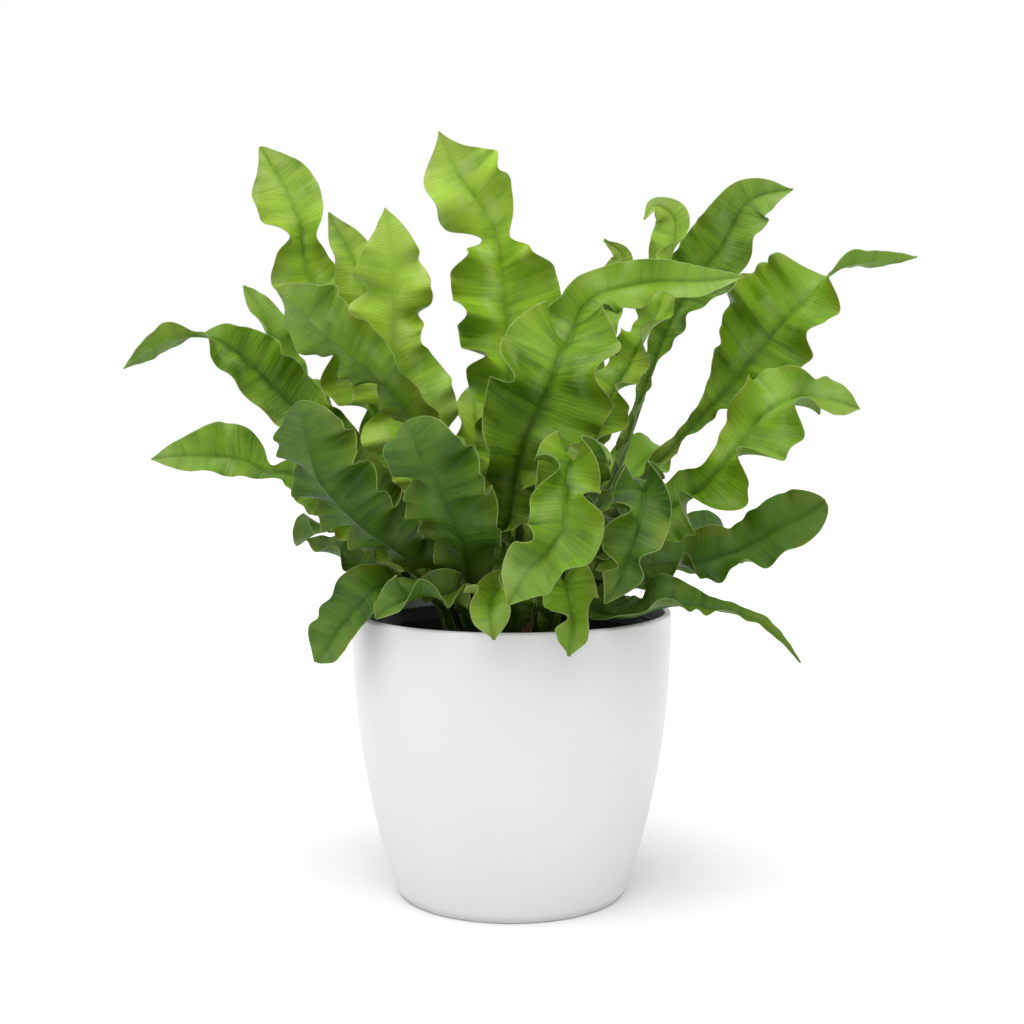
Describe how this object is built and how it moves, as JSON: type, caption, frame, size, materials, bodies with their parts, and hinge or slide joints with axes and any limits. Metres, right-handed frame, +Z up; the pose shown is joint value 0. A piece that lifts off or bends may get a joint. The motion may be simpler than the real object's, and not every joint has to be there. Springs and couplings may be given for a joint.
{
  "type": "potted fern",
  "caption": "Fern with long waved fronds growing in a black nursery pot that stands in a plain white round cover pot",
  "frame": {"origin": "middle of the cover pot's flat underside, on the surface that it stands on", "axes": "+Z up, +X to the right of the plant's front view, +Y away from the viewer"},
  "size_m": [0.3383, 0.2421, 0.3342],
  "materials": {
    "pot": "satin white",
    "nursery_pot": "satin black",
    "soil": "rough dark peat",
    "crown": "fibrous brown rootstock",
    "frond_young": "satin yellow-green leaf",
    "frond": "satin green leaf",
    "frond_old": "satin dark green leaf"
  },
  "bodies": {
    "root": {"pot": "pot", "nursery_pot": "nursery_pot", "soil": "soil", "crown": "crown", "frond_tall": "frond_young", "frond_left_tall": "frond_young", "frond_left_behind": "frond", "frond_far_left": "frond", "frond_left": "frond", "frond_front_left": "frond_old", "frond_front_left_high": "frond", "frond_inner_left": "frond_young", "frond_upright_left": "frond_young", "frond_front_bending": "frond", "frond_right_high": "frond", "frond_far_right": "frond", "frond_right": "frond", "frond_right_low": "frond_old", "frond_right_drooping": "frond_old", "frond_front_drooping": "frond", "frond_front_arching": "frond", "frond_front_right": "frond_old", "frond_front_small": "frond", "frond_inner_right": "frond_young", "frond_inner_back": "frond_young", "frond_front_centre": "frond_old", "frond_front_low": "frond_old", "frond_left_drooping": "frond_old", "frond_left_low_back": "frond_old", "frond_right_short": "frond_old", "frond_back_left_low": "frond_old", "frond_back_left": "frond", "frond_back_upright": "frond_young", "frond_back_centre": "frond_old", "frond_back_right": "frond", "frond_back_right_low": "frond_old", "frond_back_low": "frond_old", "frond_right_low_back": "frond_old"}
  },
  "joints": []
}
